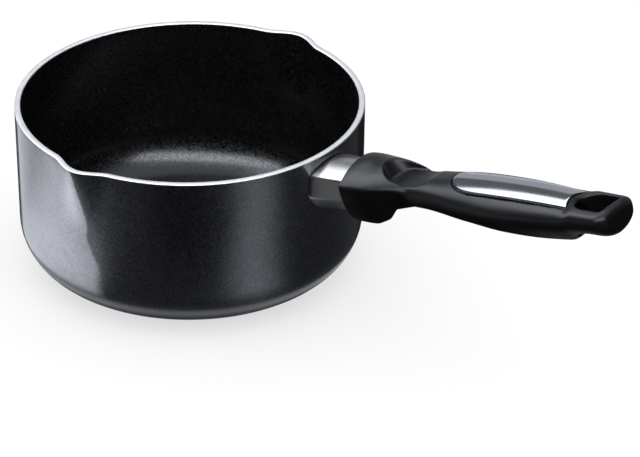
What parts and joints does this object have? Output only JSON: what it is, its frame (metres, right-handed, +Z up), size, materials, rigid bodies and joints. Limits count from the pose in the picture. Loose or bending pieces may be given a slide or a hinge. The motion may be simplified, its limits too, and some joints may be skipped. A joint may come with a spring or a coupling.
{
  "type": "saucepan",
  "caption": "Straight-walled saucepan with pouring lips, non-stick inside, polished flame guard and moulded handle with thumb scoop, bare metal inlay and hanging hole.",
  "frame": {"origin": "centre of the base, on the surface that the pan stands on", "axes": "+Z up, +X along the handle, the pouring lips at +Y and -Y"},
  "size_m": [0.3171, 0.1692, 0.1041],
  "materials": {
    "pan_coating": "anthracite metallic lacquer outside, speckled black non-stick inside, bare turned rim",
    "disc_steel": "turned",
    "stud_aluminium": "bare",
    "guard_aluminium": "polished",
    "handle_moulding": "fine matt texture",
    "inlay_metal": "polished, bare",
    "fixing_steel": "zinc plated"
  },
  "bodies": {
    "root": {"pan_body": "pan_coating", "base_disc": "disc_steel", "handle_stud": "stud_aluminium", "flame_guard": "guard_aluminium", "handle_grip": "handle_moulding", "inlay_plate": "inlay_metal", "handle_screw": "fixing_steel", "plain_washer": "fixing_steel", "lock_washer": "fixing_steel"}
  },
  "joints": []
}
